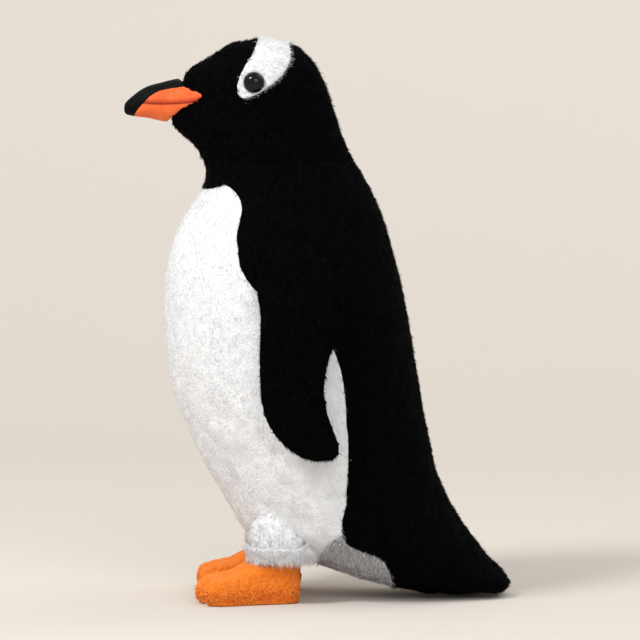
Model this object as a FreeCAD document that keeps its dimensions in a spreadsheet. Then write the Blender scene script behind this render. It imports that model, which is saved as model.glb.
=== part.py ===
"""Plush penguin that stands on two stuffed feet and the tip of its tail.

Millimetres. +Z is up, the penguin looks along -Y, and +X is its own left side.
The origin is on the floor, at the middle of the toy's length and width.

The soft pieces are made the way the toy is sewn. Each stuffed pocket (body, flipper, beak, foot) is an outer
form and a core, both lofted through the same sections. The fabric is the form less the core, and it is cut
into its panels along the seams. The core is the fibre filling. The legs are short tubes below the body.
"""
import FreeCAD, Part
import math
import os

from FreeCAD import Placement, Rotation, Vector

doc = FreeCAD.newDocument("plush_penguin")
sheet = doc.addObject("Spreadsheet::Sheet", "sizes")
sheet_row = 0


# ---------------------------------------------------------------- driving dimensions

def put(alias, value):
    """Writes one named size into the spreadsheet."""
    global sheet_row
    sheet_row += 1
    sheet.set(f"A{sheet_row}", alias.replace("_", " "))
    sheet.set(f"B{sheet_row}", str(value))
    sheet.setAlias(f"B{sheet_row}", alias)


def put_table(name, columns, rows):
    """Writes a table of stations, one cell for each value, named such as body_03_front_y."""
    put(f"{name}_count", len(rows))
    for number, row in enumerate(rows):
        for column, value in zip(columns, row):
            put(f"{name}_{number:02d}_{column}", value)


def table(name, columns):
    """Reads a table of stations back from the spreadsheet."""
    rows = range(int(sheet.get(f"{name}_count")))
    return [[float(sheet.get(f"{name}_{row:02d}_{column}")) for column in columns] for row in rows]


for alias, value in {
    "plush_thick": 4.0,  # body plush, backing and pile together
    "wing_thick": 2.4,  # flipper fabric
    "wing_seam_shift": -2.6,  # the black cover wraps round the flipper's edge
    "beak_thick": 1.5,  # beak fabric
    "foot_thick": 2.2,  # foot fleece
    "zone_span": 400.0,  # how far the seam cutters reach across the toy
    "neck_seam_z": 250.0,
    "eye_dia": 12.0,
    "eye_dome": 4.6,  # how far the dome stands above its own rim plane
    "eye_rim": 1.2,
    "eye_post_dia": 3.6,
    "eye_post_length": 13.0,
    "eye_x": 32.0,  # rim plane, just under the tips of the pile
    "eye_y": -36.8,
    "eye_z": 295.0,
    "eye_yaw": -12.0,  # turns the eyes a little forward
    "eye_pitch": -14.0,  # and a little up
    "washer_dia": 12.0,
    "washer_thick": 1.5,
    "washer_depth": 6.5,  # from the rim plane to the washer's outer face
    "leg_x": 29.0,
    "leg_y": -20.5,
    "leg_radius": 21.4,
    "leg_wall": 3.6,
    "leg_top_z": 75.0,
    "cuff_bottom_z": 23.5,
    "cuff_top_z": 35.0,
    "cuff_bulge": 1.0,  # how far the rolled hem stands out past the leg
    "foot_x": 30.0,
    "foot_y": -23.0,
    "foot_splay": 7.0,
    "sole_height": 8.5,
}.items():
    put(alias, value)

# The body: front and back points of each section, in the middle plane, and its half width.
FORM_COLUMNS = ("front_y", "front_z", "back_y", "back_z", "half_width", "front_fullness")
put_table("body", FORM_COLUMNS, [
    (-38.5, 319.6, -26.5, 319.8, 6.0, 1.0),
    (-46.0, 317.2, -18.2, 317.0, 15.0, 0.98),
    (-57.0, 312.2, -8.0, 312.0, 23.5, 0.95),
    (-67.8, 305.8, -1.6, 305.2, 29.6, 0.90),
    (-76.4, 300.0, 1.6, 299.6, 32.6, 0.87),
    (-79.4, 292.5, 4.8, 292.4, 34.8, 0.83),
    (-82.6, 283.0, 8.0, 283.4, 36.0, 0.80),
    (-85.6, 271.2, 11.6, 272.1, 36.5, 0.80),
    (-75.8, 260.0, 15.6, 260.1, 37.0, 0.88),
    (-67.6, 249.6, 20.4, 249.6, 38.0, 0.95),
    (-65.4, 239.8, 26.1, 240.3, 40.5, 1.0),
    (-69.6, 229.6, 31.2, 231.2, 44.5, 1.0),
    (-77.2, 218.2, 36.6, 218.7, 49.5, 1.02),
    (-84.1, 204.0, 41.0, 205.0, 55.0, 1.03),
    (-87.8, 188.5, 45.2, 190.3, 59.0, 1.04),
    (-88.8, 167.0, 50.4, 168.7, 62.0, 1.05),
    (-88.0, 143.1, 54.7, 144.8, 63.0, 1.05),
    (-83.5, 117.6, 58.6, 120.4, 62.5, 1.05),
    (-75.0, 94.9, 62.2, 99.4, 61.0, 1.05),
    (-63.6, 72.1, 66.5, 79.0, 59.0, 1.05),
    (-51.5, 51.0, 71.6, 62.5, 56.0, 1.05),
    (-41.0, 34.5, 77.4, 50.6, 52.5, 1.04),
    (-22.5, 25.5, 82.6, 42.4, 48.0, 1.03),
    (-0.6, 17.6, 88.0, 35.6, 43.5, 1.02),
    (21.0, 9.9, 93.5, 28.6, 39.0, 1.0),
    (44.0, 3.6, 98.3, 22.3, 34.0, 1.0),
    (66.5, 0.6, 103.2, 17.2, 28.5, 1.0),
    (86.0, 0.2, 107.4, 11.6, 22.5, 1.0),
    (102.0, 1.0, 110.2, 6.4, 14.5, 1.0),
])

# The left flipper: front and back edges, the middle of its thickness, and half its thickness.
WING_COLUMNS = ("front_y", "front_z", "back_y", "back_z", "middle_x", "half_thick")
put_table("wing", WING_COLUMNS, [
    (-25.0, 209.0, -6.5, 208.5, 61.6, 4.2),
    (-32.5, 201.5, 3.0, 200.0, 63.6, 5.0),
    (-36.6, 191.5, 9.8, 191.0, 66.0, 5.6),
    (-37.0, 180.0, 13.8, 180.0, 68.2, 5.9),
    (-35.2, 168.0, 15.0, 168.0, 70.0, 6.0),
    (-35.2, 154.5, 12.4, 154.5, 71.2, 6.0),
    (-35.6, 140.5, 7.6, 140.5, 71.8, 5.9),
    (-35.6, 126.5, 5.2, 126.5, 71.8, 5.8),
    (-33.4, 112.5, 6.8, 112.5, 71.4, 5.6),
    (-28.2, 100.5, 10.6, 101.5, 70.8, 5.4),
    (-20.6, 91.5, 13.4, 93.0, 70.2, 5.0),
    (-11.4, 85.5, 12.0, 86.5, 69.8, 4.5),
    (-3.0, 82.6, 8.0, 83.0, 69.6, 3.8),
])

# The beak, from inside the face to the tip: top and bottom points and half width.
BEAK_COLUMNS = ("place_y", "top_z", "bottom_z", "half_width")
put_table("beak", BEAK_COLUMNS, [
    (-56.0, 293.0, 279.0, 25.4),
    (-61.0, 293.8, 278.2, 24.6),
    (-66.0, 294.8, 276.8, 23.0),
    (-70.5, 295.3, 274.4, 20.3),
    (-75.0, 294.8, 271.6, 17.2),
    (-79.5, 294.6, 270.7, 14.4),
    (-84.6, 293.8, 270.6, 12.0),
    (-93.2, 291.6, 272.0, 9.8),
    (-100.2, 288.8, 273.2, 7.8),
    (-105.4, 285.0, 273.8, 5.9),
    (-108.8, 282.0, 274.6, 4.0),
    (-110.2, 279.6, 275.8, 2.4),
])

# One foot, from the floor up: how far the toes and the heel reach, the half width, and how far the outline has
# changed from three toes (0) to the round ankle (1).
FOOT_COLUMNS = ("height", "toe_reach", "heel_reach", "half_width", "roundness")
put_table("foot", FOOT_COLUMNS, [
    (0.0, 45.0, 11.5, 18.6, 0.0),
    (4.0, 48.0, 13.0, 20.2, 0.0),
    (10.0, 48.2, 13.2, 20.3, 0.0),
    (13.8, 46.0, 13.0, 19.6, 0.06),
    (16.4, 37.5, 12.8, 18.2, 0.26),
    (19.2, 27.5, 12.6, 16.8, 0.6),
    (23.4, 18.6, 12.4, 15.2, 0.92),
    (28.0, 14.0, 12.0, 13.8, 1.0),
])

# Seams seen from the side, as points (y, z). Each seam is one smooth curve.
POINT_COLUMNS = ("y", "z")
put_table("belly_seam", POINT_COLUMNS, [
    (-110.0, 232.0), (-72.0, 232.6), (-58.0, 235.6), (-52.6, 236.6), (-48.0, 233.8), (-45.0, 229.6),
    (-44.2, 224.5), (-46.2, 215.0), (-46.6, 205.0), (-45.4, 196.0), (-42.4, 188.0), (-36.5, 180.5), (-24.0, 173.0),
    (-7.0, 162.0), (6.0, 150.0), (12.2, 136.5), (14.8, 121.0), (16.2, 104.0), (16.6, 86.0),
    (16.2, 68.0), (14.6, 54.0), (12.4, 43.5), (16.5, 33.0), (27.0, 28.2), (35.5, 24.0),
    (39.4, 17.0), (40.0, -10.0),
])
put_table("brow_front", POINT_COLUMNS, [
    (-35.0, 330.0), (-35.2, 317.0), (-38.0, 311.0), (-42.6, 304.0), (-45.4, 297.0), (-46.8, 291.0),
    (-44.6, 286.4), (-39.0, 287.0), (-31.0, 291.4), (-22.6, 297.4), (-16.6, 304.6), (-15.2, 312.0),
    (-16.6, 318.0), (-17.0, 330.0),
])
put_table("culmen_seam", POINT_COLUMNS, [
    (-50.0, 299.0), (-66.0, 293.6), (-73.0, 291.6), (-79.0, 290.6), (-86.0, 289.4), (-92.0, 287.6),
    (-96.3, 284.6), (-100.0, 280.8), (-103.2, 277.0), (-104.6, 268.0),
])
put_table("mouth_seam", POINT_COLUMNS, [
    (-50.0, 287.0), (-64.5, 284.6), (-72.0, 282.8), (-80.0, 281.7), (-90.0, 281.2), (-101.0, 281.6),
    (-112.0, 282.6),
])
doc.recompute()


def size(alias):
    """A size from the spreadsheet."""
    return float(sheet.get(alias))


# ---------------------------------------------------------------- helpers

def keep(obj, label):
    """Marks a document object as a sub-part of the toy, which is written to its own file."""
    obj.Label = label
    sub_parts.append(obj)
    return obj


def feature(name, shape):
    """A Part::Feature that holds a free-form shape."""
    obj = doc.addObject("Part::Feature", name)
    obj.Shape = shape
    return obj


def boolean(kind, name, base, tool):
    obj = doc.addObject(f"Part::{kind}", name)
    obj.Base = base
    obj.Tool = tool
    doc.recompute()
    return obj


def cut(name, base, *tools):
    """base less each of the tools, one Part::Cut after another."""
    for number, tool in enumerate(tools):
        base = boolean("Cut", f"{name}_less{number}", base, tool)
    return base


def common(name, base, *tools):
    """What base shares with each of the tools."""
    for number, tool in enumerate(tools):
        base = boolean("Common", f"{name}_in{number}", base, tool)
    return base


def mirrored(name, source):
    """The same piece on the penguin's right side."""
    obj = doc.addObject("Part::Mirroring", name)
    obj.Source = source
    obj.Normal = Vector(1, 0, 0)
    return obj


def joined(name, left):
    """A piece that crosses the middle plane: its left half and the mirror image of it, as one."""
    return boolean("Fuse", name, left, mirrored(f"{name}_mirror", left))


def both_sides(name, left):
    """Keeps a piece of the left side and its mirror image."""
    keep(left, f"{name}_left")
    keep(mirrored(f"{name}_right_piece", left), f"{name}_right")


def bind(obj, **expressions):
    """Binds properties to the spreadsheet's cells, such as Radius="sizes.leg_radius"."""
    for prop, expression in expressions.items():
        obj.setExpression(prop.replace("__", "."), expression)


def half_curve(points, parameters=None):
    """The half, on the points' side, of a closed smooth curve that is its own mirror image in X.
    Sections with the same parameters loft into one plain surface."""
    steps = [float(step) for step in parameters or range(len(points))]
    middle_x = points[0].x
    ring = points + [Vector(2 * middle_x - p.x, p.y, p.z) for p in reversed(points[1:-1])]
    ring_steps = steps + [2 * steps[-1] - step for step in reversed(steps[:-1])]
    curve = Part.BSplineCurve()
    curve.interpolate(Points=ring, PeriodicFlag=True, Parameters=ring_steps)
    curve.segment(steps[0], steps[-1])
    return curve.toShape()


def half_oval(front, back, half_width, fullness=1.0):
    """Half of an egg-shaped section, from its front end round the +X side to its back end."""
    quarter = math.sqrt(0.5)
    middle = (front + back) * 0.5
    half = (back - front) * 0.5
    out = Vector(half_width, 0, 0)
    near, far = middle - half * quarter, middle + half * quarter
    return half_curve([front, near + out * quarter * fullness, middle + out, far + out * quarter, back])


def half_loft(sections):
    """A solid through half sections, closed by flat faces: one in the middle plane and one at each end."""
    skin = Part.makeLoft([Part.Wire([section]) for section in sections], False, False).Faces[0]
    rims = {}
    for edge in skin.Edges:
        middle = edge.valueAt((edge.FirstParameter + edge.LastParameter) / 2)
        for name, section in (("first", sections[0]), ("last", sections[-1])):
            if section.distToShape(Part.Vertex(middle))[0] < 1e-4:
                rims[name] = edge
    sides = [edge for edge in skin.Edges if not any(edge.isSame(rim) for rim in rims.values())]
    lines = [Part.makeLine(rim.Vertexes[0].Point, rim.Vertexes[-1].Point) for rim in rims.values()]
    faces = [skin, Part.Face(Part.Wire(Part.sortEdges(sides + lines)[0]))]
    faces += [Part.Face(Part.Wire([rim, line])) for rim, line in zip(rims.values(), lines)]
    shell = Part.makeShell(faces)
    shell.sewShape()
    solid = Part.Solid(shell)
    if solid.Volume < 0:
        solid.reverse()
    return solid


def loft(sections):
    return Part.makeLoft(sections, True, False)


def whole_section(half, across):
    """A closed section: the half and its mirror image, as two edges that meet smoothly."""
    return Part.Wire([half, half.mirror(half.Vertexes[0].Point, across)])


def moved_in(points, depth, turn):
    """The points of an outline, each moved inwards by depth. turn is 1 or -1, the side that is inside."""
    inner = []
    for number, point in enumerate(points):
        before = points[max(number - 1, 0)]
        after = points[min(number + 1, len(points) - 1)]
        along = (after - before).normalize()
        inner.append(point + Vector(0, -along.z, along.y) * (depth * turn))
    return inner


def form_and_core(name, fronts, backs, half_widths, fullness, depth, build, core=slice(None), turn=1):
    """The outer form of a stuffed pocket and its core, which is the form moved in by the fabric's depth."""
    inner_fronts = moved_in(fronts, depth, turn)
    inner_backs = moved_in(backs, depth, -turn)
    outer, inner = [], []
    for number, half_width in enumerate(half_widths):
        span = (backs[number] - fronts[number]).Length
        lost = span - (inner_backs[number] - inner_fronts[number]).Length
        narrow = half_width - min(max(lost / 2, 0.8 * depth), 1.3 * depth)
        outer.append(half_oval(fronts[number], backs[number], half_width, fullness[number]))
        inner.append(half_oval(inner_fronts[number], inner_backs[number], narrow, fullness[number]))
    return feature(f"{name}_form", build(outer)), feature(f"{name}_core", build(inner[core]))


def zone(name, plane, curve_points, corners, span="sizes.zone_span"):
    """A block across the whole toy that cuts the fabric along a seam: a padded sketch with one smooth curve,
    closed by straight lines through the corners."""
    body = doc.addObject("PartDesign::Body", name)
    sketch = body.newObject("Sketcher::SketchObject", f"{name}_outline")
    origin_plane = next(f for f in body.Origin.OriginFeatures if f.Role == plane)
    sketch.AttachmentSupport = [(origin_plane, "")]
    sketch.MapMode = "FlatFace"
    curve = Part.BSplineCurve()
    curve.interpolate([Vector(a, b, 0) for a, b in curve_points])
    sketch.addGeometry(curve)
    closing = [curve_points[-1], *corners, curve_points[0]]
    for start, end in zip(closing, closing[1:]):
        sketch.addGeometry(Part.LineSegment(Vector(*start, 0), Vector(*end, 0)))
    pad = body.newObject("PartDesign::Pad", f"{name}_pad")
    pad.Profile = sketch
    pad.SideType = "Symmetric"
    bind(pad, Length=span)
    doc.recompute()
    return body


def block(name, corner, sizes):
    """A plain block that cuts the fabric along a flat seam."""
    box = doc.addObject("Part::Box", name)
    box.Length, box.Width, box.Height = sizes
    box.Placement.Base = Vector(*corner)
    return box


def turned(name, profile):
    """A PartDesign body: a closed profile of (radius, height) edges turned fully about its own Z axis."""
    body = doc.addObject("PartDesign::Body", name)
    sketch = body.newObject("Sketcher::SketchObject", f"{name}_profile")
    plane = next(f for f in body.Origin.OriginFeatures if f.Role == "XZ_Plane")
    sketch.AttachmentSupport = [(plane, "")]
    sketch.MapMode = "FlatFace"
    for edge in profile:
        sketch.addGeometry(edge)
    revolution = body.newObject("PartDesign::Revolution", f"{name}_turn")
    revolution.Profile = sketch
    revolution.ReferenceAxis = (sketch, ["V_Axis"])
    revolution.Angle = 360.0
    doc.recompute()
    return body


sub_parts = []
SPAN = size("zone_span")
HALF_SPAN = SPAN / 2

# ---------------------------------------------------------------- body and head

rows = table("body", FORM_COLUMNS)
body_form, body_core = form_and_core(
    "body",
    [Vector(0, row[0], row[1]) for row in rows],
    [Vector(0, row[2], row[3]) for row in rows],
    [row[4] for row in rows],
    [row[5] for row in rows],
    size("plush_thick"),
    build=half_loft,
    core=slice(0, -1),
)
doc.recompute()

head_zone = block("head_zone", (-HALF_SPAN, -HALF_SPAN, 0), (SPAN, SPAN, HALF_SPAN))
bind(head_zone, Placement__Base__z="sizes.neck_seam_z")
belly_zone = zone("belly_zone", "YZ_Plane", table("belly_seam", POINT_COLUMNS), [(-110.0, -10.0)])
brow_zone = zone("brow_zone", "YZ_Plane", table("brow_front", POINT_COLUMNS), [])
# The seat panel closes the body behind the legs. Its front seam runs from the crotch to the back panels.
seat_front = [(-2.0, -10.0), (-2.0, 10.0), (-0.5, 22.0), (4.5, 32.0), (13.0, 40.0), (28.0, 46.0)]
seat_zone = zone("seat_zone", "YZ_Plane", seat_front, [(60.0, 46.0), (60.0, -10.0)])


def eye_profile():
    """Half of a safety eye, from its post's end to the top of its dome. The rim plane is at height 0."""
    radius, rim, dome = size("eye_dia") / 2, size("eye_rim"), size("eye_dome")
    post, length = size("eye_post_dia") / 2, size("eye_post_length")
    top, edge = Vector(0, dome, 0), Vector(radius, 0, 0)
    on_dome = Vector(radius * math.sin(math.pi / 4), dome * math.cos(math.pi / 4), 0)
    rim_corners = [Vector(radius, -rim, 0), Vector(post, -rim, 0)]
    post_corners = [Vector(post, -length, 0), Vector(0, -length, 0)]
    corners = [edge, *rim_corners, *post_corners, top]
    return [Part.Arc(top, on_dome, edge)] + [Part.LineSegment(a, b) for a, b in zip(corners, corners[1:])]


def washer_profile():
    """Half of the star washer that grips the eye's post behind the fabric."""
    radius, bore = size("washer_dia") / 2, size("eye_post_dia") / 2
    top = -size("washer_depth")
    bottom = top - size("washer_thick")
    corners = [Vector(bore, top, 0), Vector(radius, top, 0), Vector(radius, bottom, 0), Vector(bore, bottom, 0)]
    return [Part.LineSegment(a, b) for a, b in zip(corners, corners[1:] + corners[:1])]


# Their own Z axis points out of the left side of the face, a little forward and up.
eye_turn = Rotation(Vector(0, 0, 1), size("eye_yaw")) * Rotation(Vector(0, 1, 0), 90 + size("eye_pitch"))
eye_place = Placement(Vector(size("eye_x"), size("eye_y"), size("eye_z")), eye_turn)
eye_left = turned("eye_piece", eye_profile())
washer_left = turned("washer_piece", washer_profile())
for piece in (eye_left, washer_left):
    piece.Placement = eye_place
doc.recompute()
keep(joined("filling", cut("filling", body_core, eye_left, washer_left)), "body_filling")
brow = common("brow", body_form, brow_zone)
keep(joined("brow", cut("brow", brow, body_core, eye_left)), "brow_band")
white = common("white", body_form, belly_zone)
keep(joined("belly", cut("belly", white, seat_zone, body_core)), "belly_panel")
keep(joined("seat", cut("seat", common("seat", white, seat_zone), body_core)), "seat_panel")
head = common("head", body_form, head_zone)
both_sides("head_panel", cut("head", head, brow_zone, body_core, eye_left))
both_sides("back_panel", cut("back", body_form, head_zone, belly_zone, body_core))
both_sides("eye", eye_left)
both_sides("eye_washer", washer_left)

# ---------------------------------------------------------------- beak

rows = table("beak", BEAK_COLUMNS)
beak_form, beak_core = form_and_core(
    "beak",
    [Vector(0, row[0], row[2]) for row in rows],
    [Vector(0, row[0], row[1]) for row in rows],
    [row[3] for row in rows],
    [1.0] * len(rows),
    size("beak_thick"),
    build=half_loft,
    core=slice(0, -2),
    turn=-1,
)
doc.recompute()
culmen_corners = [(-130.0, 268.0), (-130.0, 310.0), (-50.0, 310.0)]
culmen_zone = zone("culmen_zone", "YZ_Plane", table("culmen_seam", POINT_COLUMNS), culmen_corners)
mouth_corners = [(-112.0, 250.0), (-50.0, 250.0)]
mouth_zone = zone("mouth_zone", "YZ_Plane", table("mouth_seam", POINT_COLUMNS), mouth_corners)
beak_front = cut("beak_front", beak_form, body_form)
orange = cut("beak_orange", beak_front, culmen_zone)
keep(joined("beak_top", cut("beak_top", common("beak_top", beak_front, culmen_zone), beak_core)), "beak_top")
keep(joined("beak_lower", cut("beak_lower", common("beak_lower", orange, mouth_zone), beak_core)), "beak_lower")
keep(joined("beak_filling", cut("beak_filling", beak_core, body_form)), "beak_filling")
both_sides("beak_side", cut("beak_side", orange, mouth_zone, beak_core))

# ---------------------------------------------------------------- flippers

rows = table("wing", WING_COLUMNS)
wing_form, wing_core = form_and_core(
    "wing",
    [Vector(row[4], row[0], row[1]) for row in rows],
    [Vector(row[4], row[2], row[3]) for row in rows],
    [row[5] for row in rows],
    [1.0] * len(rows),
    size("wing_thick"),
    build=lambda halves: loft([whole_section(half, Vector(1, 0, 0)) for half in halves]),
    core=slice(1, -1),
)
doc.recompute()
# The seam round the flipper's edge lies near the middle of its thickness, a little to the outside.
wing_middle = [(row[4] + size("wing_seam_shift"), (row[1] + row[3]) / 2) for row in rows]
wing_seam = [(wing_middle[0][0], 240.0), *wing_middle, (wing_middle[-1][0], 60.0)]
wing_zone = zone("wing_zone", "XZ_Plane", wing_seam, [(120.0, 60.0), (120.0, 240.0)])
both_sides("flipper_cover", cut("wing_cover", common("wing_cover", wing_form, wing_zone), wing_core))
both_sides("flipper_lining", cut("wing_lining", wing_form, wing_zone, wing_core))
both_sides("flipper_filling", wing_core)

# ---------------------------------------------------------------- feet

# One half of the outline with three toes, from the heel to the tip of the middle toe, as parts of the half
# width and of the reach.
TOE_OUTLINE = [
    (0.0, -1.0), (0.3, -0.94), (0.55, -0.6), (0.67, -0.08), (0.73, 0.17), (0.81, 0.35), (0.92, 0.54),
    (1.0, 0.71), (0.985, 0.84), (0.82, 0.925), (0.62, 0.92), (0.47, 0.868), (0.355, 0.87), (0.25, 0.942),
    (0.13, 0.988), (0.0, 1.0),
]
TOE_SIZE = (20.3, 48.2)  # where the outline's own lengths are measured, for the curve's parameters
TOE_STEPS = [0.0]
for (x0, y0), (x1, y1) in zip(TOE_OUTLINE, TOE_OUTLINE[1:]):
    TOE_STEPS.append(TOE_STEPS[-1] + math.hypot((x1 - x0) * TOE_SIZE[0], (y1 - y0) * TOE_SIZE[1]))


def foot_section(height, toe_reach, heel_reach, half_width, roundness, inset):
    """Half of a level section of the foot: a rounded heel, straight sides and three toes."""
    points = []
    for (across, forward), step in zip(TOE_OUTLINE, TOE_STEPS):
        angle = math.pi * (step / TOE_STEPS[-1] - 0.5)
        x = across * (1 - roundness) + math.cos(angle) * roundness
        y = forward * (1 - roundness) + math.sin(angle) * roundness
        reach = (toe_reach if y > 0 else heel_reach) - inset
        points.append(Vector(x * (half_width - inset), -y * reach, height))
    return half_curve(points, parameters=TOE_STEPS)


rows = table("foot", FOOT_COLUMNS)
fleece = size("foot_thick")
foot_form = feature("foot_form", half_loft([foot_section(*row, 0.0) for row in rows]))
# The core starts and ends one fabric thickness inside the foot's floor and upper slopes.
core_rows = [[fleece, *rows[0][1:]]] + [[row[0] - fleece * (row[0] > 12.0), *row[1:]] for row in rows[1:-1]]
foot_core = feature("foot_core", half_loft([foot_section(*row, fleece) for row in core_rows]))
sole_zone = block("sole_zone", (-HALF_SPAN, -HALF_SPAN, -1.0), (SPAN, SPAN, 1.0))
bind(sole_zone, Height="sizes.sole_height + 1")
foot_turn = Rotation(Vector(0, 0, 1), size("foot_splay"))
foot_place = Placement(Vector(size("foot_x"), size("foot_y"), 0), foot_turn)
foot_filling = joined("foot_filling", foot_core)
foot_whole = joined("foot_whole", foot_form)
for piece in (foot_filling, foot_whole):
    piece.Placement = foot_place
foot_fabric = cut("foot_fabric", foot_whole, foot_filling)
foot_sole = common("foot_sole", foot_fabric, sole_zone)
foot_upper = cut("foot_upper", foot_fabric, sole_zone, body_form)
both_sides("foot_sole", foot_sole)
both_sides("foot_upper", foot_upper)
both_sides("foot_filling", foot_filling)

# ---------------------------------------------------------------- legs


def cylinder(name, radius, bottom, top):
    """An upright cylinder on the left leg's axis, bound to the sheet."""
    obj = doc.addObject("Part::Cylinder", name)
    bind(
        obj,
        Radius=radius,
        Height=f"{top} - {bottom}",
        Placement__Base__x="sizes.leg_x",
        Placement__Base__y="sizes.leg_y",
        Placement__Base__z=bottom,
    )
    doc.recompute()
    return obj


def cuff_profile():
    """Half of the rolled hem round the ankle: flat against the leg, rounded outside."""
    inner, outer = size("leg_radius") - size("leg_wall"), size("leg_radius") + size("cuff_bulge")
    low, high = size("cuff_bottom_z"), size("cuff_top_z")
    middle = (low + high) / 2
    soft = size("leg_radius") - 0.4
    return [
        Part.LineSegment(Vector(inner, high, 0), Vector(inner, low, 0)),
        Part.LineSegment(Vector(inner, low, 0), Vector(soft, low, 0)),
        Part.Arc(Vector(soft, low, 0), Vector(outer, middle, 0), Vector(soft, high, 0)),
        Part.LineSegment(Vector(soft, high, 0), Vector(inner, high, 0)),
    ]


leg_outside = cylinder("leg_outside", "sizes.leg_radius", "sizes.cuff_top_z", "sizes.leg_top_z")
leg_bore = "sizes.leg_radius - sizes.leg_wall"
leg_inside = cylinder("leg_inside", leg_bore, "sizes.cuff_bottom_z + 3", "sizes.leg_top_z")
cuff = turned("cuff_piece", cuff_profile())
cuff.Placement.Base = Vector(size("leg_x"), size("leg_y"), 0)
doc.recompute()
both_sides("leg_cover", cut("leg_cover", leg_outside, leg_inside, body_form, foot_whole))
both_sides("leg_filling", cut("leg_filling", leg_inside, body_form, foot_whole))
both_sides("ankle_cuff", cut("ankle_cuff", cuff, body_form, foot_whole))

# ---------------------------------------------------------------- checks and files

doc.recompute()
for obj in doc.Objects:
    wrong = [state for state in obj.State if state in ("Invalid", "Error")]
    if wrong:
        raise RuntimeError(f"{obj.Name} is {wrong}")
for obj in sub_parts:
    if obj.Shape.isNull() or not obj.Shape.isValid() or not obj.Shape.Solids:
        raise RuntimeError(f"{obj.Label} has no valid shape")

os.makedirs("parts", exist_ok=True)
for old in os.listdir("parts"):
    os.remove(os.path.join("parts", old))
whole = FreeCAD.BoundBox()
for obj in sub_parts:
    obj.Shape.exportStep(f"parts/{obj.Label}.step")
    whole.add(obj.Shape.optimalBoundingBox(False))
    print(f"{obj.Label:22s} solids {len(obj.Shape.Solids)}  volume {obj.Shape.Volume / 1000:9.2f} cm3")
print(len(sub_parts), "sub-parts,", whole)
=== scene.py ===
"""Looks of the plush penguin: padded plush skins grown from the CAD pockets, their pile, and studio light.

Metres, in the CAD frame: +Z up, the penguin looks along -Y, and +X is its own left side.
"""

import math

import bmesh
import bpy
import numpy as np
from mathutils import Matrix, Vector
from mathutils.bvhtree import BVHTree


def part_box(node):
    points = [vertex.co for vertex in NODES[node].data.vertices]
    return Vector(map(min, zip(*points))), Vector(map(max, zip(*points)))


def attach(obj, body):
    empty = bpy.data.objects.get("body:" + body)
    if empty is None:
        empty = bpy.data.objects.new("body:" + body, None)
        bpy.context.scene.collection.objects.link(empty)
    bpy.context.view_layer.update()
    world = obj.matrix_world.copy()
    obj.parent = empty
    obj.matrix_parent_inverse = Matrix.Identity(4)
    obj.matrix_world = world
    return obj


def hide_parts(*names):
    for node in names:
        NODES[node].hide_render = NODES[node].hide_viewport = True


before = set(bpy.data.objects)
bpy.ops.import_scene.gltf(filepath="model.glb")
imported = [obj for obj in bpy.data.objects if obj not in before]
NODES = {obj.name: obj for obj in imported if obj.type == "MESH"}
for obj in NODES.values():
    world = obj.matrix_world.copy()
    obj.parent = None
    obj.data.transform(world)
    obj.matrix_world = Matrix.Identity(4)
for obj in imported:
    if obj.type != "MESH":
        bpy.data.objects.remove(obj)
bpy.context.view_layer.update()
SIDES = ("left", "right")
MM = 0.001

CLOTH_FRAMES = 16
CLOTH_PRESSURE = 4.0
SEAM_ROUNDS = 8  # rounds of smoothing along a cut seam
TUCK_REACH = 1.2 * MM  # a point this near to a CAD node lies against it

# ---------------------------------------------------------------- mesh helpers


def arrays(mesh):
    """Vertex places and triangle corners of a mesh."""
    mesh.calc_loop_triangles()
    places = np.empty(len(mesh.vertices) * 3)
    mesh.vertices.foreach_get("co", places)
    corners = np.empty(len(mesh.loop_triangles) * 3, np.int32)
    mesh.loop_triangles.foreach_get("vertices", corners)
    return places.reshape(-1, 3), corners.reshape(-1, 3)


def new_object(name, mesh):
    obj = bpy.data.objects.new(name, mesh)
    bpy.context.scene.collection.objects.link(obj)
    return obj


def apply_modifiers(obj):
    """Bakes the object's modifiers into its mesh."""
    depsgraph = bpy.context.evaluated_depsgraph_get()
    mesh = bpy.data.meshes.new_from_object(obj.evaluated_get(depsgraph), depsgraph=depsgraph)
    old = obj.data
    obj.modifiers.clear()
    obj.data = mesh
    bpy.data.meshes.remove(old)


def shade_smooth(obj):
    obj.data.polygons.foreach_set("use_smooth", [True] * len(obj.data.polygons))
    obj.data.update()


def vertex_normals(mesh):
    normals = np.empty(len(mesh.vertices) * 3)
    mesh.vertex_normals.foreach_get("vector", normals)
    return normals.reshape(-1, 3)


def set_places(mesh, places):
    mesh.vertices.foreach_set("co", np.asarray(places, float).ravel())
    mesh.update()


def waves(places, scale, seed, octaves=3):
    """Smooth repeatable noise from -1 to 1 at points, with features about scale metres across."""
    random = np.random.default_rng(seed)
    total = np.zeros(len(places))
    weight = 0.0
    for octave in range(octaves):
        share = 0.55**octave
        for _ in range(4):
            direction = random.normal(size=3)
            direction /= np.linalg.norm(direction)
            turn = 2 * math.pi * 2**octave / scale * random.uniform(0.7, 1.3)
            total += share * np.sin(places @ direction * turn + random.uniform(0, 2 * math.pi))
        weight += share * 4
    return np.clip(total / weight * 1.9, -1, 1)


def outer_form(name, nodes, voxel):
    """One closed mesh round all of a pocket's CAD nodes."""
    parts = bmesh.new()
    for node in nodes:
        parts.from_mesh(NODES[node].data)
    mesh = bpy.data.meshes.new(name)
    parts.to_mesh(mesh)
    parts.free()
    obj = new_object(name, mesh)
    remesh = obj.modifiers.new("remesh", "REMESH")
    remesh.mode = "VOXEL"
    remesh.voxel_size = voxel
    apply_modifiers(obj)
    keep_largest(obj.data)
    return obj


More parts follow.
